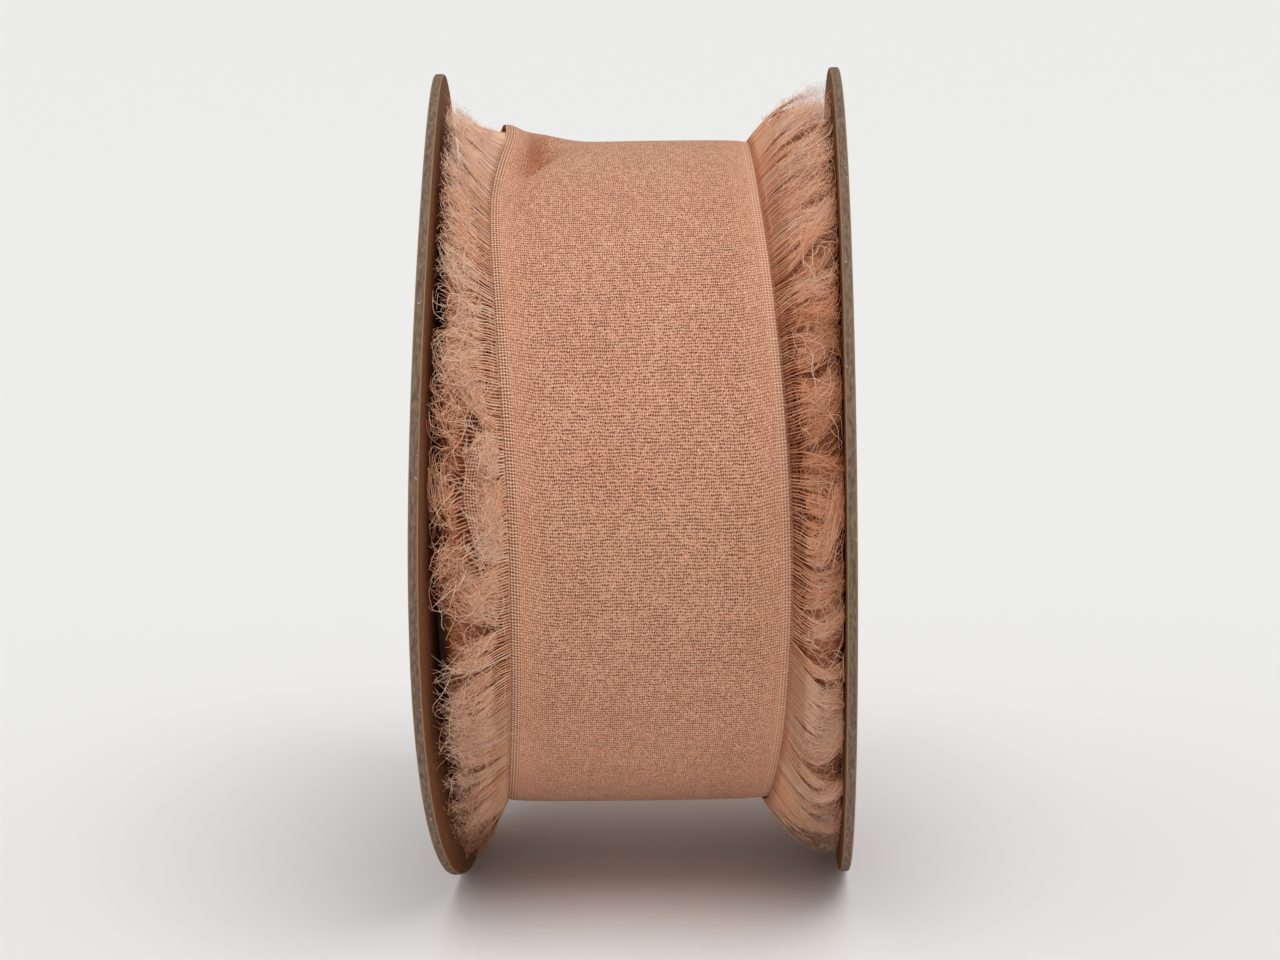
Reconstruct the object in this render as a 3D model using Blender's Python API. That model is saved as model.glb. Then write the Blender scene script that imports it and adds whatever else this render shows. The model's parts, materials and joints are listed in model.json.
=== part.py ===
"""A reel of chiffon ribbon with frayed edges, wound between two thin card discs.

The reel stands on the rims of its discs, with its axis level. X runs along the axis, -Y is the
front and +Z is up. The origin lies on the surface that the reel stands on, under its middle.

Every piece is a section, drawn as (x, radius) pairs, that is carried once round the axis. An angle
round the reel starts a little above the front, at the place that FACING names, and grows upwards.
A section's x is counted from the reel's middle plane, and its shape changes a little with the
angle: the left disc is bowed, and the woven band wanders from side to side.
"""

import math
import random

import bmesh
import bpy
from mathutils import Vector

MM = 0.001

# The two card discs
DISC_RADIUS = 42.5 * MM
CARD = 1.0 * MM
HALF_GAP = 20.0 * MM
HOLE_RADIUS = 10.0 * MM
DISC_STEPS = 72
FOOT_ANGLE = 2 * math.pi / DISC_STEPS
AXIS_HEIGHT = DISC_RADIUS * math.cos(FOOT_ANGLE)

# The reel's angles are counted from two steps above the level of its axis
FACING = 2 * FOOT_ANGLE

# How far the left disc leans, and how far it is bowed to a saddle, both at its rim
LEAN = 0.6 * MM
BOW = 1.0 * MM

# The wound ribbon: its woven band, and the packed frays of the turns below
WOUND_RADIUS = 35.2 * MM
EDGE_RADIUS = 34.4 * MM
EDGE_ROUNDING = 1.2 * MM
SHOULDER_RADIUS = 28.7 * MM
BAND_HALF_WIDTH = 13.85 * MM
ROLL_STEPS = 96

# The band's wander, as (waves in a turn, sway to the side)
WANDER_PHASE = math.radians(15)
WANDER = ((0, -1.1 * MM), (1, 1.5 * MM), (2, 0.95 * MM))

# A crease near the top, where the band's left edge is drawn in and stands up
CREASE_ANGLE = math.radians(76)
CREASE_SPAN = math.radians(17)
CREASE_TUCK = 2.2 * MM
CREASE_LIFT = 1.5 * MM

# The frayed edges: a narrow strip beside the band, which carries two tiers of locks
STRIP_WIDTH = 1.0 * MM
STRIP_INNER = 29.3 * MM
STRIP_MIDDLE = 32.0 * MM
STRIP_OUTER = 34.7 * MM
LOCKS_ROUND = 60
TIP_CLEARANCE = 0.55 * MM
TIP_SPREAD = 0.45 * MM
SWAY = 0.30 * MM
SWAY_WAVES = 7

# A lock's three lengths, as (way to the disc, lift outwards, sweep round the reel, width)
OUTER_TIER = (
    (0.34, 2.4 * MM, -0.40 * MM, 0.84),
    (0.70, 3.7 * MM, -0.85 * MM, 0.72),
    (1.00, 5.0 * MM, -0.30 * MM, 0.36),
)
LOWER_TIER = (
    (0.36, 0.4 * MM, -0.35 * MM, 0.82),
    (0.72, 1.6 * MM, -0.60 * MM, 0.70),
    (1.00, 3.4 * MM, -0.20 * MM, 0.38),
)
LIFT_SPREAD = 0.14

# Cut edges lie this far from their neighbours
CLEARANCE = 0.3 * MM

# Finishes, as (colour, roughness)
CHIFFON = ((0.62, 0.36, 0.25, 1.0), 0.75)
FRAYED_YARN = ((0.66, 0.42, 0.31, 1.0), 0.85)
GREY_CARD = ((0.20, 0.15, 0.11, 1.0), 0.9)


def left_bend(radius, angle):
    """How far the bowed left disc stands inwards at one place."""
    lean = -LEAN * math.sin(angle) * radius / DISC_RADIUS
    saddle = BOW * math.sin(2 * angle) * (radius / DISC_RADIUS) ** 2
    return lean + saddle


def full_turn(steps):
    """The angles of a full turn, in even steps."""
    return [2 * math.pi * step / steps for step in range(steps)]


# The discs' outermost points lie as far to the left of the origin as to its right
LEFT_REACH = max(-left_bend(DISC_RADIUS, angle) for angle in full_turn(DISC_STEPS))
REEL_MIDDLE = LEFT_REACH / 2


def place(x, radius, angle):
    """The point of a section's place (x, radius) at an angle round the reel."""
    depth = radius * math.cos(FACING + angle)
    rise = radius * math.sin(FACING + angle)
    return Vector((REEL_MIDDLE + x, -depth, max(AXIS_HEIGHT + rise, 0.0)))


def disc_face(side, radius, angle):
    """The x of a disc's inner face, on the left (side -1) or on the right (side 1)."""
    bend = left_bend(radius, angle) if side < 0 else 0.0
    return side * HALF_GAP + bend


def crease(angle):
    """How far the crease is formed at an angle, from 0 to 1."""
    away = math.remainder(angle - CREASE_ANGLE, 2 * math.pi)
    return math.exp(-(away / CREASE_SPAN) ** 2)


def band_edge(side, angle):
    """The x of the band's left (-1) or right (1) woven edge."""
    turned = angle + WANDER_PHASE
    middle = sum(sway * math.cos(waves * turned) for waves, sway in WANDER)
    tuck = CREASE_TUCK * crease(angle) if side < 0 else 0.0
    return middle + side * BAND_HALF_WIDTH + tuck


def disc_section(side, angle):
    """A card disc: three places down its inner face and the same three up its outer face."""
    radii = (HOLE_RADIUS, SHOULDER_RADIUS, DISC_RADIUS)
    inner = [(disc_face(side, radius, angle), radius) for radius in radii]
    outer = [(x + side * CARD, radius) for x, radius in reversed(inner)]
    return inner + outer


def roll_section(angle):
    """The wound ribbon, from the hole's left edge over the band to the hole's right edge."""
    left = band_edge(-1, angle)
    right = band_edge(1, angle)
    lift = CREASE_LIFT * crease(angle)
    below_edge = STRIP_INNER - CLEARANCE

    def packed(side, radius):
        return (disc_face(side, radius, angle) - side * CLEARANCE, radius)

    return [
        packed(-1, HOLE_RADIUS),
        packed(-1, SHOULDER_RADIUS),
        (left, below_edge),
        (left, EDGE_RADIUS + lift),
        (left + EDGE_ROUNDING, WOUND_RADIUS + lift / 2),
        ((left + right) / 2, WOUND_RADIUS),
        (right - EDGE_ROUNDING, WOUND_RADIUS),
        (right, EDGE_RADIUS),
        (right, below_edge),
        packed(1, SHOULDER_RADIUS),
        packed(1, HOLE_RADIUS),
    ]


def strip_section(side, angle):
    """The narrow strip beside the band's edge. Its two outer faces carry the locks."""
    near = band_edge(side, angle) + side * CLEARANCE
    far = near + side * STRIP_WIDTH
    outer = STRIP_OUTER + (CREASE_LIFT * crease(angle) if side < 0 else 0.0)
    return [
        (near, STRIP_INNER),
        (far, STRIP_INNER),
        (far, STRIP_MIDDLE),
        (far, outer),
        (near, outer),
    ]


def carry_round(section, steps):
    """Carries a section once round the axis. Returns the mesh and its rows of faces."""
    bm = bmesh.new()
    rings = []
    for angle in full_turn(steps):
        rings.append([bm.verts.new(place(x, radius, angle)) for x, radius in section(angle)])
    corners = len(rings[0])
    rows = [[] for _ in range(corners)]
    for ring, next_ring in zip(rings, rings[1:] + rings[:1]):
        for corner in range(corners):
            after = (corner + 1) % corners
            face = bm.faces.new((ring[corner], ring[after], next_ring[after], next_ring[corner]))
            rows[corner].append(face)
    bmesh.ops.recalc_face_normals(bm, faces=bm.faces)
    return bm, rows


def grow_lock(bm, root, side, angle, tier, draw):
    """Draws one lock out of a face of the strip, towards the disc."""
    middle = root.calc_center_median()
    offsets = [loop.vert.co - middle for loop in root.loops]
    start_x = middle.x - REEL_MIDDLE
    start_radius = math.hypot(middle.y, middle.z - AXIS_HEIGHT)
    liveliness = 1 + draw.uniform(-LIFT_SPREAD, LIFT_SPREAD)
    shortfall = TIP_CLEARANCE + draw.uniform(0, TIP_SPREAD)
    sway = SWAY * math.sin(SWAY_WAVES * angle)
    tip_radius = start_radius + tier[-1][1]
    tip_x = disc_face(side, tip_radius, angle) - side * shortfall
    face = root
    for way, lift, sweep, width in tier:
        face = bmesh.ops.extrude_discrete_faces(bm, faces=[face])["faces"][0]
        radius = start_radius + lift * liveliness
        turned = angle + (sweep + sway * way) / radius
        centre = place(start_x + way * (tip_x - start_x), radius, turned)
        for loop, offset in zip(face.loops, offsets):
            loop.vert.co = centre + offset * width


def add_piece(name, bm, material):
    """Makes an object of a finished mesh, shaded smooth but for its sharp edges."""
    mesh = bpy.data.meshes.new(name)
    bm.to_mesh(mesh)
    bm.free()
    mesh.materials.append(material)
    mesh.shade_smooth()
    mesh.set_sharp_from_angle(angle=math.radians(40))
    piece = bpy.data.objects.new(name, mesh)
    bpy.context.collection.objects.link(piece)
    return piece


def finish(name, look):
    """A plain finish in the piece's own colour."""
    colour, roughness = look
    material = bpy.data.materials.new(name)
    material.use_nodes = True
    shader = material.node_tree.nodes["Principled BSDF"]
    shader.inputs["Base Color"].default_value = colour
    shader.inputs["Roughness"].default_value = roughness
    material.diffuse_color = colour
    return material


def card_disc(name, side):
    """One thin card disc, with a spindle hole and a small flat foot."""
    bm, _ = carry_round(lambda angle: disc_section(side, angle), DISC_STEPS)
    return add_piece(name, bm, finish(name, GREY_CARD))


def ribbon_roll():
    """The whole winding as one solid: the woven band, and the turns below it."""
    bm, _ = carry_round(roll_section, ROLL_STEPS)
    return add_piece("ribbon_roll", bm, finish("ribbon_roll", CHIFFON))


def frayed_edge(name, side, seed):
    """The frayed edge on one side: its strip, with a lock on each of the strip's outer faces."""
    draw = random.Random(seed)
    bm, rows = carry_round(lambda angle: strip_section(side, angle), LOCKS_ROUND)
    half_step = math.pi / LOCKS_ROUND
    for row, tier in ((rows[1], LOWER_TIER), (rows[2], OUTER_TIER)):
        for root, angle in zip(row, full_turn(LOCKS_ROUND)):
            grow_lock(bm, root, side, angle + half_step, tier, draw)
    bmesh.ops.recalc_face_normals(bm, faces=bm.faces)
    return add_piece(name, bm, finish(name, FRAYED_YARN))


def clear_scene():
    """Removes whatever the scene holds."""
    for thing in list(bpy.data.objects):
        bpy.data.objects.remove(thing, do_unlink=True)


clear_scene()
card_disc("disc_left", -1)
card_disc("disc_right", 1)
ribbon_roll()
frayed_edge("frays_left", -1, seed=11)
frayed_edge("frays_right", 1, seed=12)
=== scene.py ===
# %% [markdown]
# A reel of chiffon ribbon with frayed edges. The solids of the reel are already there: two thin
# card discs, the winding, and the frayed edge on each side of it. This lesson dresses them. It
# starts by opening those solids as a fixed frame, because every finer piece has to lie where its
# solid lies. The box of the solids is kept, to compare it with the box of the dressed reel.

# %% Open the frame
import json
import math

import bpy
import numpy as np
from mathutils import Matrix, Vector

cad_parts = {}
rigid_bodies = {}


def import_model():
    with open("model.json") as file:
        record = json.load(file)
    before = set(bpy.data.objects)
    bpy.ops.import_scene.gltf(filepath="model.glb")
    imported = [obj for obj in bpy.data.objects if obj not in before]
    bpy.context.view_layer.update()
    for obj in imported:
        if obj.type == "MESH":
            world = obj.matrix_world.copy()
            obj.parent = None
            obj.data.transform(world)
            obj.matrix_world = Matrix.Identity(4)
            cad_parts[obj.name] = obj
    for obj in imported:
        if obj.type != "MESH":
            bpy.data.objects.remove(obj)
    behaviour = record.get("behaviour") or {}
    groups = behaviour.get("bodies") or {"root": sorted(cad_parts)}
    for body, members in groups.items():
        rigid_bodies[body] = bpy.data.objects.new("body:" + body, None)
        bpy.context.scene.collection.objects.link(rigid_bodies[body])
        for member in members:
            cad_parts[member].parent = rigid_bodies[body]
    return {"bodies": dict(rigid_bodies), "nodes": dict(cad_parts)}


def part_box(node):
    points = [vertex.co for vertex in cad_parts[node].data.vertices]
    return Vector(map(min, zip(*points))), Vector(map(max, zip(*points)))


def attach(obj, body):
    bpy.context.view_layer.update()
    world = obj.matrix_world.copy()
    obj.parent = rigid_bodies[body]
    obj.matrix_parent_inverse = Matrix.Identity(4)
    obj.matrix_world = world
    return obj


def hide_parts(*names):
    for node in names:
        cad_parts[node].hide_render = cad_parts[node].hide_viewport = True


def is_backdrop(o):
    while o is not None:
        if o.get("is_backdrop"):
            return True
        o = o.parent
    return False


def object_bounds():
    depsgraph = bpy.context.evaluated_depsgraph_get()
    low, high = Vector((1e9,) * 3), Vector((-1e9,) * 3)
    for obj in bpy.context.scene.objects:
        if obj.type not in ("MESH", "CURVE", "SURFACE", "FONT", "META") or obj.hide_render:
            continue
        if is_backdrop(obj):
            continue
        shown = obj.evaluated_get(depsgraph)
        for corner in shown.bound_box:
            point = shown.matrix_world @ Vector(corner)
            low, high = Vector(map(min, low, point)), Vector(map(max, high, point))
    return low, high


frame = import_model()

solids_box = [list(corner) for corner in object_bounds()]
BODY = next(iter(frame["bodies"]))
print("body:", BODY, "nodes:", sorted(frame["nodes"]))

# %% [markdown]
# The reel's sizes come from the frame. The right disc is flat, so its box gives the discs'
# radius, the thickness of the card and the height of the axis. Only what the boxes can't tell is
# written here as a number: the inside width, the hole, and how the winding wanders.

# %% Sizes of the reel
MM = 0.001
disc_low, disc_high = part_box("disc_right")
DISC_RADIUS = (disc_high.y - disc_low.y) / 2
CARD = disc_high.x - disc_low.x
HALF_GAP = 20.0 * MM
HOLE_RADIUS = 10.0 * MM
REEL_MIDDLE = disc_low.x - HALF_GAP
AXIS_HEIGHT = disc_high.z - DISC_RADIUS
FACING = math.radians(10)
print("disc radius", round(DISC_RADIUS / MM, 2), "mm, axis", round(AXIS_HEIGHT / MM, 2), "mm up")

# %% [markdown]
# Everything on a reel goes round its axis, so a place is given by its x from the reel's middle
# plane, its radius, and an angle that starts at the side that is looked at and grows upwards.
# The helper takes whole arrays, because the frayed yarns are thousands of such places.

# %% Places round the axis
def place(x, radius, angle):
    """Points for arrays of x, radius and angle."""
    turned = FACING + angle
    parts = (REEL_MIDDLE + x, -radius * np.cos(turned), AXIS_HEIGHT + radius * np.sin(turned))
    return np.stack(np.broadcast_arrays(*parts), axis=-1)


def bump_at(angle, centre, span):
    """A soft rise from 0 to 1 and back, round one angle."""
    away = np.remainder(angle - centre + math.pi, 2 * math.pi) - math.pi
    return np.exp(-(away / span) ** 2)


# %% [markdown]
# Two things keep a real reel from looking turned on a lathe. The left card disc is a little
# bowed, as card is. And the ribbon is wound by hand, so its woven band wanders to the left and to
# the right, and has a crease near the top where its left edge is drawn in and stands up. Each is
# a short formula, with the same sizes as the solids have.

# %% The disc's bow and the band's wander
LEAN = 0.6 * MM
BOW = 1.0 * MM
BAND_HALF_WIDTH = 13.85 * MM
WANDER_PHASE = math.radians(15)
WANDER = ((0, -1.1 * MM), (1, 1.5 * MM), (2, 0.95 * MM))
CREASE_ANGLE = math.radians(76)
CREASE_SPAN = math.radians(17)
CREASE_TUCK = 2.2 * MM


def left_bend(radius, angle):
    """How far the bowed left disc stands inwards."""
    lean = -LEAN * np.sin(angle) * radius / DISC_RADIUS
    return lean + BOW * np.sin(2 * angle) * (radius / DISC_RADIUS) ** 2


def disc_face(side, radius, angle):
    """The x of a disc's inner face, on the left (side -1) or on the right (side 1)."""
    return side * HALF_GAP + (left_bend(radius, angle) if side < 0 else 0.0)


def band_edge(side, angle):
    """The x of the outermost turn's left (-1) or right (1) woven edge."""
    turned = angle + WANDER_PHASE
    middle = sum(sway * np.cos(waves * turned) for waves, sway in WANDER)
    tuck = CREASE_TUCK * bump_at(angle, CREASE_ANGLE, CREASE_SPAN) if side < 0 else 0.0
    return middle + side * BAND_HALF_WIDTH + tuck


# %% [markdown]
# The camera comes before the pieces, so that each piece can be checked in a render at once. A
# long lens from a third of a metre away keeps the discs nearly edge on, with just a sliver of
# the left one's inner face in view. The camera looks down by the same small angle that the
# reel's own angles start from, and it is turned a little on its own axis.

# %% Camera
IMAGE_WIDTH = 1280
FOCAL_PIXELS = 3228
CAMERA_DISTANCE = 344.0 * MM
CAMERA_ASIDE = 9.6 * MM
AIM_ASIDE = -0.53 * MM
AIM_BELOW = 0.87 * MM
CAMERA_ROLL = math.radians(-1.07)


def add_camera():
    """Places the camera that the picture is taken with."""
    lens = bpy.data.cameras.new("camera")
    lens.sensor_width = 36.0
    lens.lens = lens.sensor_width * FOCAL_PIXELS / IMAGE_WIDTH
    lens.clip_start = 0.01
    camera = bpy.data.objects.new("camera", lens)
    bpy.context.collection.objects.link(camera)
    axis = Vector((REEL_MIDDLE, 0, AXIS_HEIGHT))
    back = Vector((0, -math.cos(FACING), math.sin(FACING)))
    up = Vector((0, math.sin(FACING), math.cos(FACING)))
    eye = axis + back * CAMERA_DISTANCE + Vector((CAMERA_ASIDE, 0, 0))
    target = axis + Vector((AIM_ASIDE, 0, 0)) - up * AIM_BELOW
    turn = (eye - target).to_track_quat("Z", "Y").to_matrix().to_4x4()
    roll = Matrix.Rotation(CAMERA_ROLL, 4, "Z")
    camera.matrix_world = Matrix.Translation(eye) @ turn @ roll
    bpy.context.scene.camera = camera
    return camera


camera = add_camera()
print("lens", round(camera.data.lens, 1), "mm")

# %% [markdown]
# The reel stands on a plain pale floor under soft studio light. The pale world lights it from all
# round. One wide lamp above and a little in front makes the upper side of the winding light and
# leaves its lower side darker. It is a sun lamp, so the floor is equally pale near and far, and
# its wide angle gives the shadow a soft edge.

# %% Floor and light
FLOOR_SIZE = 60.0
FLOOR_COLOUR = (0.88, 0.88, 0.87, 1.0)
WORLD_COLOUR = (1.0, 1.0, 1.0, 1.0)
WORLD_STRENGTH = 0.53
SKY_LAMP_STRENGTH = 1.5
SKY_LAMP_WIDTH = math.radians(50)
SKY_LAMP_FROM = Vector((0.12, -0.35, 1.0))


def add_floor():
    """A pale floor that reaches past everything in view."""
    half = FLOOR_SIZE / 2
    corners = [(-half, -half, 0), (half, -half, 0), (half, half, 0), (-half, half, 0)]
    mesh = bpy.data.meshes.new("floor")
    mesh.from_pydata(corners, [], [(0, 1, 2, 3)])
    material = bpy.data.materials.new("pale_floor")
    material.use_nodes = True
    shader = material.node_tree.nodes["Principled BSDF"]
    shader.inputs["Base Color"].default_value = FLOOR_COLOUR
    shader.inputs["Roughness"].default_value = 0.9
    mesh.materials.append(material)
    floor = bpy.data.objects.new("floor", mesh)
    bpy.context.collection.objects.link(floor)
    floor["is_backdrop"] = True


def add_sky_lamp():
    """A wide soft lamp, far above and a little in front."""
    lamp = bpy.data.lights.new("sky_lamp", "SUN")
    lamp.energy = SKY_LAMP_STRENGTH
    lamp.angle = SKY_LAMP_WIDTH
    thing = bpy.data.objects.new("sky_lamp", lamp)
    bpy.context.collection.objects.link(thing)
    thing.rotation_euler = SKY_LAMP_FROM.to_track_quat("Z", "Y").to_euler()


def add_world():
    """Pale light from all round."""
    world = bpy.data.worlds.new("studio")
    world.use_nodes = True
    ground = world.node_tree.nodes["Background"]
    ground.inputs["Color"].default_value = WORLD_COLOUR
    ground.inputs["Strength"].default_value = WORLD_STRENGTH
    bpy.context.scene.world = world
    bpy.context.scene.view_settings.view_transform = "Standard"


add_floor()
add_world()
add_sky_lamp()
print("lamp strength", SKY_LAMP_STRENGTH, "and world strength", WORLD_STRENGTH)

# %% [markdown]
# Materials are node trees. A few small helpers keep them readable: one adds a node and joins its
# inputs, one does arithmetic, and one mixes two colours. A value that is the same all over a
# surface is set on the shader's own socket.

# %% Helpers for node trees
class Nodes:
    """A material's node tree, with short ways to add to it."""

    def __init__(self, name):
        self.material = bpy.data.materials.new(name)
        self.material.use_nodes = True
        self.tree = self.material.node_tree
        self.shader = self.tree.nodes["Principled BSDF"]

    def join(self, value, socket):
        """Joins an output to a socket, or sets the socket to a plain value."""
        if isinstance(value, bpy.types.NodeSocket):
            self.tree.links.new(value, socket)
        elif value is not None:
            socket.default_value = value

    def add(self, kind, settings=None, **inputs):
        """Adds a node, with its settings, and joins its inputs by name."""
        node = self.tree.nodes.new(kind)
        for key, value in (settings or {}).items():
            setattr(node, key, value)
        for key, value in inputs.items():
            self.join(value, node.inputs[key.replace("_", " ")])
        return node

    def sum(self, operation, *values):
        """One arithmetic step."""
        node = self.tree.nodes.new("ShaderNodeMath")
        node.operation = operation
        for value, socket in zip(values, node.inputs):
            self.join(value, socket)
        return node.outputs[0]

    def ease(self, value, low, high, bottom=0.0, top=1.0):
        """A smooth step from bottom to top while the value goes from low to high."""
        node = self.tree.nodes.new("ShaderNodeMapRange")
        node.interpolation_type = "SMOOTHSTEP"
        for part, socket in zip((value, low, high, bottom, top), node.inputs):
            self.join(part, socket)
        return node.outputs[0]

    def blend(self, share, first, second, mode="MIX"):
        """Mixes two colours."""
        node = self.tree.nodes.new("ShaderNodeMix")
        node.data_type = "RGBA"
        node.blend_type = mode
        self.join(share, node.inputs[0])
        self.join(first, node.inputs[6])
        self.join(second, node.inputs[7])
        return node.outputs[2]

    def reading(self, name):
        """A number that the mesh carries at each point."""
        return self.add("ShaderNodeAttribute", {"attribute_name": name}).outputs["Fac"]

    def vector(self, x, y, z=0.0):
        """A vector of three values."""
        return self.add("ShaderNodeCombineXYZ", X=x, Y=y, Z=z).outputs[0]

    def noise(self, where, scale, detail=2.0):
        """Soft noise, about 0.5."""
        node = self.add("ShaderNodeTexNoise", Vector=where, Scale=scale, Detail=detail)
        return node.outputs[0]

    def waver(self, where, scale, detail=2.0):
        """Soft noise, about 0."""
        return self.sum("SUBTRACT", self.noise(where, scale, detail), 0.5)

    def bump(self, height, distance, strength=1.0):
        """Turns a height from 0 to 1 into relief of a real depth."""
        node = self.add("ShaderNodeBump", Height=height, Distance=distance, Strength=strength)
        self.join(node.outputs[0], self.shader.inputs["Normal"])

    def surface(self, colour, **values):
        """Sets the shader's colour and its other sockets."""
        self.join(colour, self.shader.inputs["Base Color"])
        for key, value in values.items():
            self.join(value, self.shader.inputs[key.replace("_", " ")])
        return self.material


# %% [markdown]
# Chiffon is a plain weave of hard twisted yarn: each warp end goes over one pick and under the
# next. The weave is made in the material, because a turn of this band has about 140 ends and 700
# picks. The mesh says where a point is, in millimetres: how far across the band, how far from the
# nearer woven edge, and how far along the ribbon. From that the material counts ends and picks,
# which the twist pulls about a little. Beside the frays four ends are set wider, like a ladder.

# %% Counting the yarns of the cloth
END_PITCH = 0.20
PICK_PITCH = 0.314
LADDER_ENDS = 4.0
LADDER_PITCH = 0.2875
LADDER = LADDER_ENDS * LADDER_PITCH
LADDER_FADES_FROM = LADDER - 0.1
LADDER_FADES_TO = LADDER + 0.25
CALM_ZONE = 4.5
STIR = 0.42
STIR_SCALE = 1.5
DRIFT_SCALE = 1.2
DRIFT_LAYER = 7.0
SAG = 0.7
OTHER_HALF = 500.0


def place_in_weave(n):
    """Where a point lies in the weave: what the mesh carries, and what follows from it."""
    across = n.reading("across_mm")
    edge = n.reading("edge_mm")
    along = n.reading("along_mm")
    return {
        "across": across,
        "edge": edge,
        "along": along,
        "spot": n.vector(across, along),
        "ladder": n.ease(edge, LADDER_FADES_TO, LADDER_FADES_FROM),
        "half": n.sum("MULTIPLY", n.sum("SIGN", across), OTHER_HALF),
    }


def count_ends(n, at):
    """How many ends lie between a point and the woven edge."""
    stir = n.waver(at["spot"], STIR_SCALE)
    strength = n.sum("MULTIPLY_ADD", at["ladder"], -STIR, STIR)
    pushed = n.sum("MULTIPLY_ADD", stir, strength, at["edge"])
    wide_ends = n.sum("MINIMUM", n.sum("DIVIDE", pushed, LADDER_PITCH), LADDER_ENDS)
    inside = n.sum("MAXIMUM", n.sum("SUBTRACT", pushed, LADDER), 0.0)
    return n.sum("ADD", wide_ends, n.sum("DIVIDE", inside, END_PITCH))


def count_picks(n, at):
    """How many picks lie before a point. Towards the woven edges they sag."""
    drift = n.waver(n.vector(at["along"], at["across"], DRIFT_LAYER), DRIFT_SCALE)
    pulled = n.sum("MULTIPLY_ADD", drift, STIR, at["along"])
    pulled = n.sum("ADD", pulled, n.ease(at["edge"], CALM_ZONE, 0.0, 0.0, SAG))
    return n.sum("DIVIDE", pulled, PICK_PITCH)


def from_gap(n, count):
    """How far a point lies from the gap beside its yarn. On the yarn's middle it is 1."""
    return n.sum("MULTIPLY", n.sum("PINGPONG", count, 0.5), 2.0)


print("chiffon:", round(10 / END_PITCH), "ends,", round(10 / PICK_PITCH), "picks to the centimetre")

# %% [markdown]
# The corners between the yarns are small holes. No two are alike, because of the twist, and they
# open less towards the woven edges. In the ladder all of them are open, more so at the left edge
# than at the right one. The holes get painted shade. Where an end lies on top there is an upright
# crown with a painted highlight, and where a pick lies on top a darker, level one with a weaker
# painted highlight.

# %% Holes and crowns of the cloth
GRAIN_SCALE = 0.9
GRAIN = 0.6
LIVELY_FULL = 0.75
LIVELY_AT_EDGE = 0.45
HOLE_WIDTH = 0.98
HOLE_HEIGHT = 0.88
HOLE_CORE = 0.20
LADDER_CORE = 0.12
LADDER_OPEN_LEFT = 0.95
LADDER_OPEN_RIGHT = 0.55
LEVEL_CROWN = 0.62
LUCK_LAYER = 3.0


def weave_holes(n, at, ends, picks):
    """How open the cloth is at a point, from 0 to 1."""
    corner = n.vector(n.sum("ADD", n.sum("ROUND", ends), at["half"]), n.sum("ROUND", picks))
    chance = n.add("ShaderNodeTexWhiteNoise", {"noise_dimensions": "2D"}, Vector=corner)
    grain = n.waver(at["spot"], GRAIN_SCALE)
    lively = n.sum("MULTIPLY_ADD", grain, GRAIN, chance.outputs[0])
    lively = n.ease(lively, 0.0, LIVELY_FULL)
    calm = n.ease(at["edge"], LADDER, CALM_ZONE, LIVELY_AT_EDGE, 1.0)
    lively = n.sum("MULTIPLY", lively, calm)
    full = n.sum("MULTIPLY_ADD", at["ladder"], LADDER_CORE, HOLE_CORE)
    beside_end = n.ease(from_gap(n, ends), HOLE_WIDTH, full)
    beside_pick = n.ease(from_gap(n, picks), HOLE_HEIGHT, full)
    wide = n.sum("MULTIPLY", beside_end, beside_pick)
    side_share = n.ease(at["across"], -1.0, 1.0, LADDER_OPEN_LEFT, LADDER_OPEN_RIGHT)
    open_ladder = n.sum("MULTIPLY", at["ladder"], side_share)
    return n.sum("MULTIPLY", wide, n.sum("MAXIMUM", lively, open_ladder))


def weave_crowns(n, at, ends, picks):
    """The height of the yarn that lies on top, and a random number for each crossing."""
    end_cell = n.sum("FLOOR", ends)
    pick_cell = n.sum("FLOOR", picks)
    pick_on_top = n.sum("PINGPONG", n.sum("ADD", end_cell, pick_cell), 1.0)
    cell = n.vector(n.sum("ADD", end_cell, at["half"]), pick_cell, LUCK_LAYER)
    luck = n.add("ShaderNodeTexWhiteNoise", {"noise_dimensions": "3D"}, Vector=cell)
    end_gap = from_gap(n, ends)
    pick_gap = from_gap(n, picks)
    upright = n.sum("MULTIPLY", n.ease(end_gap, 0.0, 0.9), n.ease(pick_gap, -0.5, 0.5))
    level = n.sum("MULTIPLY", n.ease(end_gap, -0.5, 0.5), n.ease(pick_gap, 0.0, 0.9))
    lower = n.sum("SUBTRACT", n.sum("MULTIPLY", level, LEVEL_CROWN), upright)
    return n.sum("MULTIPLY_ADD", pick_on_top, lower, upright), luck.outputs[0]


# %% [markdown]
# The finish mixes its colours from the crowns and the holes: a painted highlight on the crowns,
# and painted shade in the holes. Large soft patches keep the band from looking printed. In the
# pocket of the crease, where the mesh carries pocket_shade, painted shade makes the cloth darker
# and redder, as light there would have passed other cloth. A little sheen gives the soft bloom that
# crepe yarn has.

# %% Chiffon cloth
CLOTH_LIGHT = (0.985, 0.575, 0.390, 1.0)
# painted shade on the threads, away from the crowns' painted highlight
CLOTH_SHADED = (0.510, 0.180, 0.085, 1.0)
# painted shade in the holes between the yarns
HOLE_SHADE_COLOUR = (0.110, 0.022, 0.005, 1.0)
# painted shade for the crease's pocket
POCKET_SHADE_COLOUR = (0.420, 0.140, 0.055, 1.0)
PEACH_SHEEN = (1.000, 0.700, 0.520, 1.0)
PATCH_SCALE = 0.16
PATCHES = 0.20
LUCK = 0.55
LUCK_LEAST = 0.50
LADDER_LIGHT = 0.30
LIGHT_RANGE = (-0.25, 0.95)
HOLE_SHADE_STRENGTH = 0.95
WEAVE_RELIEF = 0.06 * MM


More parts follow.
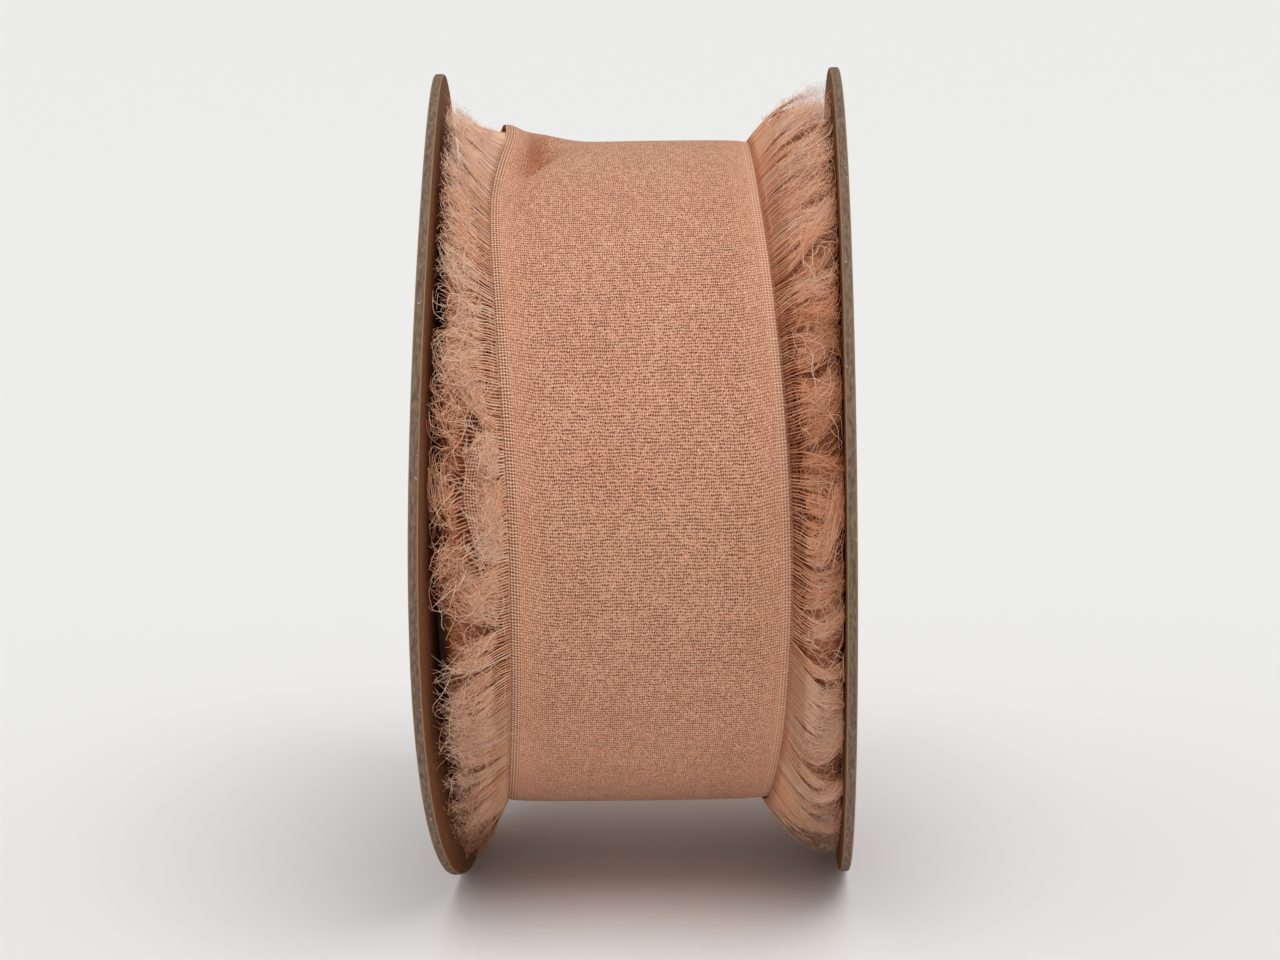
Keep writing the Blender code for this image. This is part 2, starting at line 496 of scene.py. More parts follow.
def chiffon_cloth():
    """The woven band's cloth. The mesh carries across_mm, edge_mm, along_mm and pocket_shade, the
    painted shade of the crease's pocket.
    """
    n = Nodes("chiffon_cloth")
    at = place_in_weave(n)
    ends = count_ends(n, at)
    picks = count_picks(n, at)
    holes = weave_holes(n, at, ends, picks)
    crown, luck = weave_crowns(n, at, ends, picks)
    # painted highlight on the crowns, stronger where an end lies on top
    light = n.sum("MULTIPLY", crown, n.sum("MULTIPLY_ADD", luck, LUCK, LUCK_LEAST))
    light = n.sum("MULTIPLY_ADD", n.waver(at["spot"], PATCH_SCALE), PATCHES, light)
    light = n.sum("MULTIPLY_ADD", at["ladder"], LADDER_LIGHT, light)
    cloth = n.blend(n.ease(light, *LIGHT_RANGE), CLOTH_SHADED, CLOTH_LIGHT)
    # painted shade: the crease's pocket is darker and redder
    cloth = n.blend(n.reading("pocket_shade"), cloth, POCKET_SHADE_COLOUR)
    # painted shade in the holes
    colour = n.blend(n.sum("MULTIPLY", holes, HOLE_SHADE_STRENGTH), cloth, HOLE_SHADE_COLOUR)
    height = n.sum("SUBTRACT", n.sum("MULTIPLY", crown, 0.6), holes)
    n.bump(height, WEAVE_RELIEF, 0.8)
    sheen = {"Sheen_Weight": 0.30, "Sheen_Roughness": 0.5, "Sheen_Tint": PEACH_SHEEN}
    return n.surface(colour, Roughness=0.65, Specular_IOR_Level=0.12, **sheen)


cloth_finish = chiffon_cloth()
print("cloth finish:", cloth_finish.name)

# %% [markdown]
# The frayed yarn is the same yarn without its weave. It is lighter where it splits into single
# filaments, and painted shade makes it darker and redder deep in the pile, where light would have
# passed many other yarns. So the mesh carries a tone at each point, from 0, deep in the pile in
# painted shade, to 1, at a pale outer tip.

# %% Frayed yarn
# the yarn's colour in painted shade, deep in the pile
YARN_SHADED = (0.420, 0.120, 0.045, 1.0)
YARN_BODY = (0.890, 0.435, 0.245, 1.0)
# pale outer tips, partly painted light
YARN_PALE = (0.930, 0.655, 0.475, 1.0)
MOTTLE_SCALE = 900.0
MOTTLE = 0.25
BODY_FROM = (0.0, 0.55)
PALE_FROM = (0.40, 1.0)


def frayed_yarn(name):
    """Loose yarn. The mesh carries tone, which holds painted light and shade."""
    n = Nodes(name)
    tone = n.reading("tone")
    where = n.add("ShaderNodeTexCoord").outputs["Object"]
    mottle = n.waver(where, MOTTLE_SCALE, 3.0)
    tone = n.sum("MULTIPLY_ADD", mottle, MOTTLE, tone)
    # painted shade at low tone
    base = n.blend(n.ease(tone, *BODY_FROM), YARN_SHADED, YARN_BODY)
    colour = n.blend(n.ease(tone, *PALE_FROM), base, YARN_PALE)
    sheen = {"Sheen_Weight": 0.12, "Sheen_Roughness": 0.5, "Sheen_Tint": PEACH_SHEEN}
    return n.surface(colour, Roughness=0.75, Specular_IOR_Level=0.1, **sheen)


yarn_finish = frayed_yarn("frayed_yarn")
print("yarn finish:", yarn_finish.name)

# %% [markdown]
# Grey board is made of layers. Its cut rim shows a paler paper line at each face and a grey,
# speckled core between them. Its faces are smooth and brown. The mesh carries how deep in the
# card a point lies, from one face to the other, and how near it is to the rim.

# %% Grey card
CORE_DARK = (0.125, 0.082, 0.054, 1.0)
CORE_LIGHT = (0.262, 0.178, 0.120, 1.0)
CARD_LINER = (0.380, 0.225, 0.115, 1.0)
CARD_FACE = (0.200, 0.074, 0.023, 1.0)
CARD_FACE_DARK = (0.140, 0.050, 0.015, 1.0)
SPECK = (0.420, 0.370, 0.310, 1.0)
LAYER_STRETCH = Vector((4.0, 1.0, 1.0))
FIBRE_SCALE = 1100.0
CLOUD_SCALE = 160.0
SPECK_SCALE = 2400.0
FIBRES_IN_FACE = 0.22
CARD_GRAIN = 0.04 * MM


def grey_card():
    """Grey board with a brown face. The mesh carries deep and rim."""
    n = Nodes("grey_card")
    deep = n.reading("deep")
    rim = n.reading("rim")
    where = n.add("ShaderNodeTexCoord").outputs["Object"]
    stretch = n.add("ShaderNodeVectorMath", {"operation": "MULTIPLY"})
    n.join(where, stretch.inputs[0])
    n.join(LAYER_STRETCH, stretch.inputs[1])
    fibres = n.noise(stretch.outputs[0], FIBRE_SCALE, 4.0)
    clouds = n.noise(where, CLOUD_SCALE, 5.0)
    specks = n.noise(where, SPECK_SCALE, 1.0)
    core = n.blend(n.ease(fibres, 0.28, 0.72), CORE_DARK, CORE_LIGHT)
    core = n.blend(n.ease(specks, 0.70, 0.80), core, SPECK)
    from_face = n.sum("PINGPONG", deep, 0.5)
    ragged = n.sum("MULTIPLY_ADD", n.sum("SUBTRACT", fibres, 0.5), 0.10, from_face)
    edge = n.blend(n.ease(ragged, 0.15, 0.09), core, CARD_LINER)
    face = n.blend(n.ease(clouds, 0.20, 0.80, 0.25, 1.0), CARD_FACE_DARK, CARD_FACE)
    face = n.blend(n.ease(fibres, 0.30, 0.80, 0.0, FIBRES_IN_FACE), face, CARD_LINER)
    colour = n.blend(rim, face, edge)
    n.bump(n.sum("ADD", fibres, n.sum("MULTIPLY", clouds, 0.3)), CARD_GRAIN, 0.6)
    return n.surface(colour, Roughness=0.85, Specular_IOR_Level=0.2)


card_finish = grey_card()
print("card finish:", card_finish.name)

# %% [markdown]
# Pieces are made as meshes from arrays of points. One helper makes the object, gives it its
# finish, and lets it ride on the reel's body. Another makes a sheet of faces between rows of
# points, closed round the axis or open.

# %% Helpers for pieces
def add_piece(name, points, faces, finish, numbers=None):
    """Makes an object of points and faces, with numbers carried at each point."""
    mesh = bpy.data.meshes.new(name)
    mesh.from_pydata(points.reshape(-1, 3).tolist(), [], faces)
    for key, values in (numbers or {}).items():
        layer = mesh.attributes.new(key, "FLOAT", "POINT")
        layer.data.foreach_set("value", np.asarray(values, dtype=np.float32).ravel())
    mesh.materials.append(finish)
    mesh.shade_smooth()
    piece = bpy.data.objects.new(name, mesh)
    bpy.context.collection.objects.link(piece)
    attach(piece, BODY)
    mesh.calc_loop_triangles()
    print(name, "has", len(mesh.loop_triangles), "triangles")
    return piece


def grid_faces(rows, columns, close_rows=False, close_columns=False):
    """Four-sided faces between neighbouring points of a grid."""
    index = np.arange(rows * columns).reshape(rows, columns)
    if close_rows:
        index = np.vstack([index, index[:1]])
    if close_columns:
        index = np.hstack([index, index[:, :1]])
    corners = (index[:-1, :-1], index[1:, :-1], index[1:, 1:], index[:-1, 1:])
    return np.stack(corners, axis=-1).reshape(-1, 4).tolist()


# %% [markdown]
# The outer turns of the ribbon are one long strip of cloth, wound into a spiral. Six turns are
# enough, because nothing deeper shows. The radius falls by less than half a millimetre a turn.
# The outermost turn follows the measured wander. The turns below it lie elsewhere, as wound by
# hand, and one of them peeps out under the left frays.

# %% How the turns lie
TURNS = 6
TURN_PITCH = 0.42 * MM
WOUND_RADIUS = 35.2 * MM
OUTERMOST_TO = 1.6
BELOW_FROM = 0.95
BELOW_WITHIN = 0.15
TURN_SWAY = 0.7 * MM
TURN_WAVER = 0.5 * MM
PEEP_TURN = 1.5
PEEP_WITHIN = 0.75
PEEP_ANGLE = math.radians(-4)
PEEP_SPAN = math.radians(15)
PEEP_SHIFT = -4.0 * MM


def turn_shift(turn, angle):
    """How far a turn lies beside the outermost one. The outermost is turn 0 to 1."""
    below = np.clip((turn - BELOW_FROM) / BELOW_WITHIN, 0.0, 1.0)
    second = np.clip(1.0 - np.abs(turn - PEEP_TURN) / PEEP_WITHIN, 0.0, 1.0)
    peep = PEEP_SHIFT * bump_at(angle, PEEP_ANGLE, PEEP_SPAN) * np.sqrt(second)
    loose = TURN_SWAY * np.sin(2.3 * turn + 1.0) + TURN_WAVER * np.sin(5.1 * turn + angle)
    return below * (loose + peep)


def outermost(turn):
    """1 on the outermost turn, and 0 well below it."""
    return np.clip(OUTERMOST_TO - turn, 0.0, 1.0)


# %% [markdown]
# The strip's edges round off. Near the top the ribbon was caught as it was wound: its left edge
# stands up beside a soft trough, and the cloth behind that bulges. Each of these changes the
# cloth's radius by a formula. The mesh also carries how deep a point lies in the pocket of the
# crease, so that the finish can paint shade there.

# %% The crease
EDGE_DROP = 0.35 * MM
EDGE_ROUNDING = 1.3 * MM
CREASE_LIFT = 1.5 * MM
CREASE_WIDTH = 1.9 * MM
TROUGH_ANGLE = math.radians(68)
TROUGH_SPAN = math.radians(8)
TROUGH_DEPTH = 2.4 * MM
TROUGH_WIDTH = 1.3 * MM
TROUGH_AT = 3.6 * MM
TROUGH_RUN = 1.2 * MM
BACK_ANGLE = math.radians(84)
BACK_SPAN = math.radians(8)
BACK_LIFT = 1.1 * MM
BACK_WIDTH = 6.5 * MM
# where painted shade darkens the crease's pocket, and how much
FOLD_ANGLE = math.radians(73)
FOLD_SPAN = math.radians(9)
FOLD_AT = 2.6 * MM
FOLD_NEAR = 0.5 * MM
FOLD_FAR = 2.4 * MM
POCKET_SHADE_STRENGTH = 0.85
RIPPLE = 0.07 * MM
RIPPLE_REACH = 4 * MM
SLACK = 0.05 * MM


def cloth_radius(turn, angle, from_left, from_right):
    """The radius of the cloth, from its turn and its distance to both woven edges."""
    radius = WOUND_RADIUS - TURN_PITCH * turn
    nearer = np.minimum(from_left, from_right)
    radius = radius - EDGE_DROP * np.exp(-(nearer / EDGE_ROUNDING))
    outer = outermost(turn)
    crease = bump_at(angle, CREASE_ANGLE, CREASE_SPAN) * outer
    radius = radius + CREASE_LIFT * crease * np.exp(-(from_left / CREASE_WIDTH) ** 2)
    trough_at = TROUGH_AT + TROUGH_RUN * (angle - TROUGH_ANGLE) / TROUGH_SPAN
    trough = np.exp(-((from_left - trough_at) / TROUGH_WIDTH) ** 2)
    sunk = TROUGH_DEPTH * (1 - turn / (TURNS + 1))
    radius = radius - sunk * bump_at(angle, TROUGH_ANGLE, TROUGH_SPAN) * trough
    behind = BACK_LIFT * outer * bump_at(angle, BACK_ANGLE, BACK_SPAN)
    radius = radius + behind * np.exp(-(from_left / BACK_WIDTH) ** 4)
    ripple = np.sin(11 * angle + 260 * from_left) * np.exp(-from_left / RIPPLE_REACH)
    ripple = ripple + np.sin(13 * angle - 240 * from_right) * np.exp(-from_right / RIPPLE_REACH)
    slack = np.sin(5 * angle + 90 * from_left) * np.sin(3 * angle - 150 * from_left)
    return radius + outer * (RIPPLE * ripple + SLACK * slack)


def pocket_shade_depth(turn, angle, from_left):
    """How much painted shade a point gets in the crease's pocket, from 0 to 1."""
    past = from_left - FOLD_AT
    width = np.where(past < 0, FOLD_NEAR, FOLD_FAR)
    pocket = bump_at(angle, FOLD_ANGLE, FOLD_SPAN) * np.exp(-(past / width) ** 2)
    return POCKET_SHADE_STRENGTH * outermost(turn) * pocket


# %% [markdown]
# The sheet is a grid of points: one row for each step along the strip, and one column for each
# step across it, closer together towards the woven edges. The mesh carries the millimetres across
# and along that the weave is counted from.

# %% The wound cloth
END_ANGLE = math.radians(205)
STEPS_A_TURN = 240
COLUMNS = 30
EDGE_CROWDING = 1.4


def wound_cloth():
    """The outer turns of the woven band, as one thin sheet."""
    turn = np.linspace(0.0, TURNS, TURNS * STEPS_A_TURN + 1)[:, None]
    angle = END_ANGLE - 2 * math.pi * turn
    across = np.linspace(-1.0, 1.0, COLUMNS + 1)[None, :]
    across = np.sign(across) * (1 - (1 - np.abs(across)) ** EDGE_CROWDING)
    local = np.remainder(angle + math.pi, 2 * math.pi) - math.pi
    left = band_edge(-1, local) + turn_shift(turn, local)
    right = band_edge(1, local) + turn_shift(turn, local)
    x = left + (right - left) * (across + 1) / 2
    radius = cloth_radius(turn, local, x - left, right - x)
    points = place(x, radius, angle)
    width = 2 * BAND_HALF_WIDTH
    mean_radius = WOUND_RADIUS - TURN_PITCH * TURNS / 2
    length = 2 * math.pi * mean_radius * TURNS
    numbers = {
        "across_mm": across * BAND_HALF_WIDTH / MM + 0 * turn,
        "edge_mm": (1 - np.abs(across)) * BAND_HALF_WIDTH / MM + 0 * turn,
        "along_mm": turn / TURNS * length / MM + 0 * across,
        # painted shade in the crease's pocket
        "pocket_shade": pocket_shade_depth(turn, local, x - left),
    }
    rows, columns = points.shape[:2]
    faces = grid_faces(rows, columns)
    piece = add_piece("wound_cloth", points, faces, cloth_finish, numbers)
    print("cloth strip", round(width / MM, 1), "mm wide and", round(length, 2), "m long")
    return piece, (width, length)


cloth, cloth_flat = wound_cloth()
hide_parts("ribbon_roll")

# %% [markdown]
# A card disc could be a plain cylinder, but cut card has soft, worn corners and a slightly uneven
# rim. So the disc is a section with rounded corners, carried round the axis with a little noise
# in its radius. The two points that stand on the floor stay flat.

# %% Card discs
DISC_STEPS = 288
CORNER = 0.22 * MM
CORNER_POINTS = 4
FACE_RINGS = 10
RIM_WEAR = 0.10 * MM
RIM_WAVES = (9, 17, 31, 58, 90)


def rim_wear(angle, seed):
    """Small dents round a cut rim, never outwards."""
    draw = np.random.default_rng(seed)
    wear = np.zeros_like(angle)
    for waves in RIM_WAVES:
        wear = wear + np.sin(waves * angle + draw.uniform(0, 6.28)) / len(RIM_WAVES)
    return RIM_WEAR * (wear - 1.0) / 2


def disc_section():
    """A card's section: (radius, depth from the inner face, share of rim)."""
    rows = []
    for step in range(FACE_RINGS):
        share = step / (FACE_RINGS - 1)
        radius = HOLE_RADIUS + CORNER + (DISC_RADIUS - HOLE_RADIUS - 2 * CORNER) * share
        rows.append((radius, 0.0, 0.0))
    for step in range(1, CORNER_POINTS + 1):
        turn = math.pi / 2 * step / CORNER_POINTS
        radius = DISC_RADIUS - CORNER + CORNER * math.sin(turn)
        rows.append((radius, CORNER * (1 - math.cos(turn)), min(1.0, step / 2)))
    for share in (0.4, 0.6):
        rows.append((DISC_RADIUS, CARD * share, 1.0))
    outer = [(radius, CARD - depth, rim) for radius, depth, rim in reversed(rows[:-1])]
    wall = [(HOLE_RADIUS, CARD - CORNER, 1.0), (HOLE_RADIUS, CORNER, 1.0)]
    return rows + outer[1:] + wall


def card_disc(name, side, seed):
    """One disc, bowed if it is the left one, with a worn rim and a flat foot."""
    angle = np.linspace(0, 2 * math.pi, DISC_STEPS, endpoint=False)
    rows = disc_section()
    wear = rim_wear(angle, seed)
    columns = []
    for radius, depth, _ in rows:
        outward = (radius / DISC_RADIUS) ** 8
        reach = radius + wear * outward
        x = disc_face(side, radius, angle) + side * depth
        points = place(x, reach, angle)
        points[:, 2] = np.maximum(points[:, 2], 0.0)
        columns.append(points)
    points = np.stack(columns, axis=1)
    shape = points.shape[:2]
    numbers = {
        "deep": np.broadcast_to([row[1] / CARD for row in rows], shape),
        "rim": np.broadcast_to([row[2] for row in rows], shape),
    }
    faces = grid_faces(DISC_STEPS, len(rows), True, True)
    if side > 0:
        faces = [face[::-1] for face in faces]
    piece = add_piece(name, points, faces, card_finish, numbers)
    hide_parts(name.replace("card_", ""))


card_disc("card_disc_left", -1, 5)
card_disc("card_disc_right", 1, 6)

# %% [markdown]
# The frays are the ribbon's own weft yarns, freed where the warp was drawn out. How they lie
# changes round the reel. Low on the left they dip and curl up in smooth arcs, in the middle they
# cross each other, and higher up they lean upwards. The tables below give the dip at the root and
# the curl at the tip, in millimetres, for a few angles on each side. They also say how messy the
# yarns are there, how far they fill the room to the disc, and how much painted shade darkens them.
# The pile rises from the woven edge to the disc, on the right at once, on the left more evenly,
# and near the crease on the left late, close to the disc.

# %% How the yarns lie
LIE_LEFT = (
    # angle, dip, curl, mess, fill, tone of painted shade
    (-90, 0.8, 2.0, 1.1, 1.0, -0.06),
    (-50, 1.0, 2.4, 1.0, 1.0, -0.06),
    (-28, 0.9, 2.0, 1.2, 1.0, -0.06),
    (-14, 1.4, 1.2, 1.6, 0.6, -0.04),
    (-6, 1.2, 1.0, 1.8, 0.25, -0.04),
    (4, 0.6, 1.2, 1.8, 0.25, -0.02),
    (13, 0.4, 1.2, 1.5, 0.9, -0.02),
    (30, 0.2, 0.8, 1.4, 1.0, 0.0),
    (50, -1.4, 0.6, 1.3, 1.0, 0.0),
    (75, -1.2, 0.4, 1.2, 1.0, 0.0),
    (130, 0.8, 1.8, 1.1, 1.0, -0.04),
    (200, 1.0, 2.0, 1.1, 1.0, -0.04),
)
LIE_RIGHT = (
    # angle, dip, curl, mess, fill, tone of painted shade
    (-90, 1.0, 1.6, 0.9, 1.0, -0.04),
    (-55, 1.8, 2.8, 0.9, 1.0, -0.04),
    (-25, 1.3, 2.6, 1.0, 1.0, -0.18),
    (0, 0.3, 1.6, 1.3, 1.0, -0.50),
    (25, 0.2, 1.0, 1.5, 1.0, -0.32),
    (50, -0.4, 0.8, 1.6, 1.0, -0.12),
    (80, -0.8, 0.8, 1.5, 1.0, -0.12),
    (130, 0.8, 1.8, 1.1, 1.0, -0.04),
    (200, 1.2, 2.2, 1.1, 1.0, -0.04),
)
STEEPNESS = {-1: 1.45, 1: 2.5}
LATE_ANGLE = math.radians(85)
LATE_SPAN = math.radians(22)


def lie(side, angle):
    """The dip, curl, mess, fill and tone of painted shade of the yarns at an angle."""
    table = np.array(LIE_LEFT if side < 0 else LIE_RIGHT, dtype=float)
    degrees = np.degrees(angle)
    values = [np.interp(degrees, table[:, 0], column, period=360) for column in table.T[1:]]
    dip, curl, mess, fill, tone = values
    return dip * MM, curl * MM, mess, fill, tone


def pile_rise(side, way, angle):
    """How far the pile has risen on the way from the woven edge to the disc, from 0 to 1."""
    rise = 1 - (1 - way) ** STEEPNESS[side]
    if side > 0:
        return rise
    return rise + bump_at(angle, LATE_ANGLE, LATE_SPAN) * (way ** 2 - rise)


# %% [markdown]
# Below the outer turns lies the rest of the winding. Its band is hidden, but the frays of the
# inner turns show in the gap beside the discs, and its first turn is the wall of the hole. It is
# one closed ring, drawn as a section and carried round the axis. Most of it has the finish of the
# frayed yarn, at a low tone that is painted shade, and fine ridges where the yarns lie side by
# side. The middle of the hole's wall is woven, so its faces have the cloth's finish.

# %% The winding's body
BODY_STEPS = 480
BODY_TOP = WOUND_RADIUS - TURN_PITCH * (TURNS + 0.7)
SHOULDER_LOW = 28.7 * MM
BODY_CLEARANCE = 0.3 * MM
PACKED_RISE = {-1: 3.0 * MM, 1: 4.2 * MM}
PACKED_WAYS = {-1: (0.08, 0.30, 0.55, 0.75), 1: (0.08, 0.30, 0.60, 0.96)}
RIDGE = 0.12 * MM
SHOULDER_WAY = 0.88
SHOULDER_LIFT = 2.4 * MM
HOLE_CORNER = 0.4 * MM
UNDER_EDGE = 0.3 * MM
UNDER_BAND = 1.5 * MM
# painted shade: the packed yarns of the inner turns are darkened
PACKED_SHADE_TONE = 0.16
BELOW_SHADE_TONE = 0.02


def body_half(side, angle, draw):
    """Half of the body's section, from the middle of the hole to the woven edge, with tones of
    painted shade.
    """
    edge = band_edge(side, angle)
    flat = 0 * angle
    hole_face = disc_face(side, HOLE_RADIUS, angle) - side * BODY_CLEARANCE
    face = disc_face(side, WOUND_RADIUS, angle) - side * BODY_CLEARANCE
    fill = lie(side, angle)[3]
    ridges = draw.normal(0, RIDGE, len(angle))
    half = [
        (side * BAND_HALF_WIDTH + flat, HOLE_RADIUS + flat, PACKED_SHADE_TONE),
        (hole_face, HOLE_RADIUS + flat, PACKED_SHADE_TONE),
        (hole_face, HOLE_RADIUS + HOLE_CORNER + flat, PACKED_SHADE_TONE),
        (face, SHOULDER_LOW + flat, BELOW_SHADE_TONE),
    ]
    if side < 0:
        x = edge + SHOULDER_WAY * (face - edge)
        half.append((x, SHOULDER_LOW + SHOULDER_LIFT + ridges, BELOW_SHADE_TONE))
    for way in reversed(PACKED_WAYS[side]):
        rise = PACKED_RISE[side] * fill * pile_rise(side, way, angle)
        bumpy = ridges + draw.normal(0, RIDGE / 2, len(angle))
        half.append((edge + way * (face - edge), BODY_TOP + rise + bumpy, PACKED_SHADE_TONE))
    half.append((edge, BODY_TOP - UNDER_EDGE + flat, PACKED_SHADE_TONE))
    half.append((edge - side * UNDER_BAND, BODY_TOP + flat, PACKED_SHADE_TONE))
    return half


def winding_body():
    """The inner turns as one ring, with packed frays on both sides."""
    draw = np.random.default_rng(7)
    angle = np.linspace(0, 2 * math.pi, BODY_STEPS, endpoint=False)
    wall_middle = [(0 * angle, HOLE_RADIUS + 0 * angle, PACKED_SHADE_TONE)]
    left = body_half(-1, angle, draw)
    right = body_half(1, angle, draw)
    ring = wall_middle + left + right[::-1]
    points = np.stack([place(x, radius, angle) for x, radius, _ in ring], axis=1)
    faces = grid_faces(BODY_STEPS, len(ring), True, True)
    across = np.stack([x + 0 * angle for x, _, _ in ring], axis=1)
    along = np.repeat(HOLE_RADIUS * angle[:, None], len(ring), axis=1)
    numbers = {
        "tone": np.broadcast_to([tone for _, _, tone in ring], across.shape),
        "across_mm": across / MM,
        "edge_mm": (BAND_HALF_WIDTH - np.abs(across)) / MM,
        "along_mm": along / MM,
    }
    piece = add_piece("winding_body", points, faces, yarn_finish, numbers)
    piece.data.materials.append(cloth_finish)
    woven = np.zeros((BODY_STEPS, len(ring)), dtype=np.int32)
    woven[:, [0, -1]] = 1
    piece.data.polygons.foreach_set("material_index", woven.ravel())
    return piece


body = winding_body()
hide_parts("ribbon_roll")

# %% [markdown]
# There is a free yarn for each pick, about 700 in a turn, on each side. A particle system could
# grow them, but here a rule for each yarn is better: they leave the woven edge side by side, sweep
# down and curl up again, gather into clumps, and split into filaments. All strands of a layer are
# worked out at once, as an array of paths. A yarn is a thin closed tube. A filament is finer than
# a pixel, so a flat strip that lies on the pile is enough, and far more of them can be afforded.

# %% Tubes and strips along many paths
SIDES = 3


def unit(vectors):
    """Vectors of length 1."""
    return vectors / np.linalg.norm(vectors, axis=-1, keepdims=True)


def outward_at(points):
    """The directions straight away from the reel's axis."""
    away = points - np.array([0.0, 0.0, AXIS_HEIGHT])
    away[..., 0] = 0.0
    return unit(away)


def tubes(paths, thickness):
    """Points and faces of closed thin tubes. paths is strands by rings by xyz."""
    strands, rings = paths.shape[:2]
    along = unit(np.gradient(paths, axis=1))
    first = unit(np.cross(along, np.array([0.21, 0.53, 0.82])))
    second = np.cross(along, first)
    turn = 2 * math.pi * np.arange(SIDES) / SIDES
    ring = first[:, :, None] * np.cos(turn)[:, None] + second[:, :, None] * np.sin(turn)[:, None]
    points = paths[:, :, None] + ring * thickness[:, :, None, None]
    index = np.arange(strands * rings * SIDES).reshape(strands, rings, SIDES)
    around = np.roll(index, -1, axis=2)
    corners = (index[:, :-1], around[:, :-1], around[:, 1:], index[:, 1:])
    walls = np.stack(corners, axis=-1).reshape(-1, 4).tolist()
    roots = index[:, 0, ::-1].reshape(-1, SIDES).tolist()
    tips = index[:, -1].reshape(-1, SIDES).tolist()
    return points, walls + roots + tips


def strips(paths, thickness):
    """Points and faces of flat strips that lie on the pile. paths is strands by rings by xyz."""
    strands, rings = paths.shape[:2]
    along = unit(np.gradient(paths, axis=1))
    aside = unit(np.cross(along, outward_at(paths))) * thickness[:, :, None]
    points = np.stack([paths - aside, paths + aside], axis=2)
    index = np.arange(strands * rings * 2).reshape(strands, rings, 2)
    corners = (index[:, :-1, 0], index[:, 1:, 0], index[:, 1:, 1], index[:, :-1, 1])
    return points, np.stack(corners, axis=-1).reshape(-1, 4).tolist()


def strand_piece(name, side, shape, made):
    """One piece of a frayed edge, from sets of paths, thicknesses and tones."""
    paths, thickness, tone = (np.concatenate(parts) for parts in zip(*made))
    points, faces = shape(paths, thickness)
    numbers = {"tone": np.broadcast_to(tone[:, :, None], points.shape[:3])}
    piece = add_piece(name, points, faces, yarn_finish, numbers)
    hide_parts("frays_left" if side < 0 else "frays_right")
    return piece


# %% [markdown]
# A yarn isn't a straight line. It wiggles, and it keeps the small waves that the weave pressed into
# it. Close to the disc it is held back, the more softly the nearer it comes: on the left the yarns
# end short of the disc, and on the right there is less room, so they bunch up against it. A point's
# tone is paler the higher it lies, as painted light; paler the nearer it is to a tip and darker
# towards the root, partly the paler split filaments and partly painted shade; and darker beside the
# disc, as painted shade.

# %% Wiggles, the room beside the disc, and tones
CRIMP = 0.085 * MM
CRIMP_WAVES = (2.4, 4.8)
WIGGLE_WAVES = (1.0, 2.1, 3.7)
WIGGLE_TURN = 2.6
SOFT_FROM = {-1: 1.3 * MM, 1: 0.7 * MM}
SOFT_END = {-1: 0.22 * MM, 1: 0.12 * MM}
PILE_LOW = 33.5 * MM
PILE_HIGH = 39.5 * MM
MEAN_HEIGHT = 0.45
# painted light: higher points are paler
PAINTED_LIGHT_BY_HEIGHT = 0.26
# paler tips, and painted shade towards the root
TONE_AND_SHADE_BY_WAY = 0.12
# painted shade beside the disc
DISC_SHADE = 0.46
DISC_SHADE_REACH = 0.8 * MM


def soft_noise(draw, rows, way, strength):
    """Smooth wiggles along strands, still at the root."""
    total = 0.0
    for waves in WIGGLE_WAVES:
        phase = draw.uniform(0, 2 * math.pi, (rows, 1))
        size = draw.normal(0, 1, (rows, 1)) / waves
        total = total + size * (np.sin(waves * WIGGLE_TURN * way + phase) - np.sin(phase))
    return strength * total * way


def crimp(draw, rows, way):
    """The small waves that the weave pressed into the yarn."""
    waves = draw.uniform(*CRIMP_WAVES, (rows, 1))
    phase = draw.uniform(0, 2 * math.pi, (rows, 1))
    return CRIMP * np.sin(2 * math.pi * waves * way + phase) * np.clip(4 * way, 0, 1)


def keep_off_disc(side, x, radius, angle):
    """Holds points back from the disc's face, the more softly the nearer they come."""
    face = disc_face(side, radius, angle)
    gap = side * (face - x)
    soft = SOFT_FROM[side] - SOFT_END[side]
    held = SOFT_END[side] + soft * np.exp(np.minimum(gap - SOFT_FROM[side], 0) / soft)
    return face - side * np.where(gap < SOFT_FROM[side], held, gap)


def disc_gap(side, x, radius, angle):
    """How far points lie from the disc's face."""
    return side * (disc_face(side, radius, angle) - x)


def pile_tone(tone, radius, way, gap):
    """The tone of points, from their strand's tone, height, way to the tip and gap to the disc:
    painted light by height, painted shade towards the root and beside the disc.
    """
    height = np.clip((radius - PILE_LOW) / (PILE_HIGH - PILE_LOW), 0, 1)
    # painted shade beside the disc
    shade = DISC_SHADE * np.exp(-gap / DISC_SHADE_REACH)
    # painted light: higher points are paler
    painted_light = PAINTED_LIGHT_BY_HEIGHT * (height - MEAN_HEIGHT)
    return np.clip(tone + painted_light + TONE_AND_SHADE_BY_WAY * (way - MEAN_HEIGHT) - shade, 0, 1)


# %% [markdown]
# One layer of frays is the free yarns of one turn. Each yarn starts straight, in its place beside
# its neighbours, and then leans to the middle of its clump. A layer starts from the woven edge
# that reaches furthest out, of its own turn and of those above it, so where a lower turn peeps
# out, its frays start further out too.

# %% Where the yarns of a layer start
START_SPREAD = 0.22
CLUMP_SPREAD = 0.35
CLUMP_UNEVEN = 0.6
CLUMP_WAVES = 13


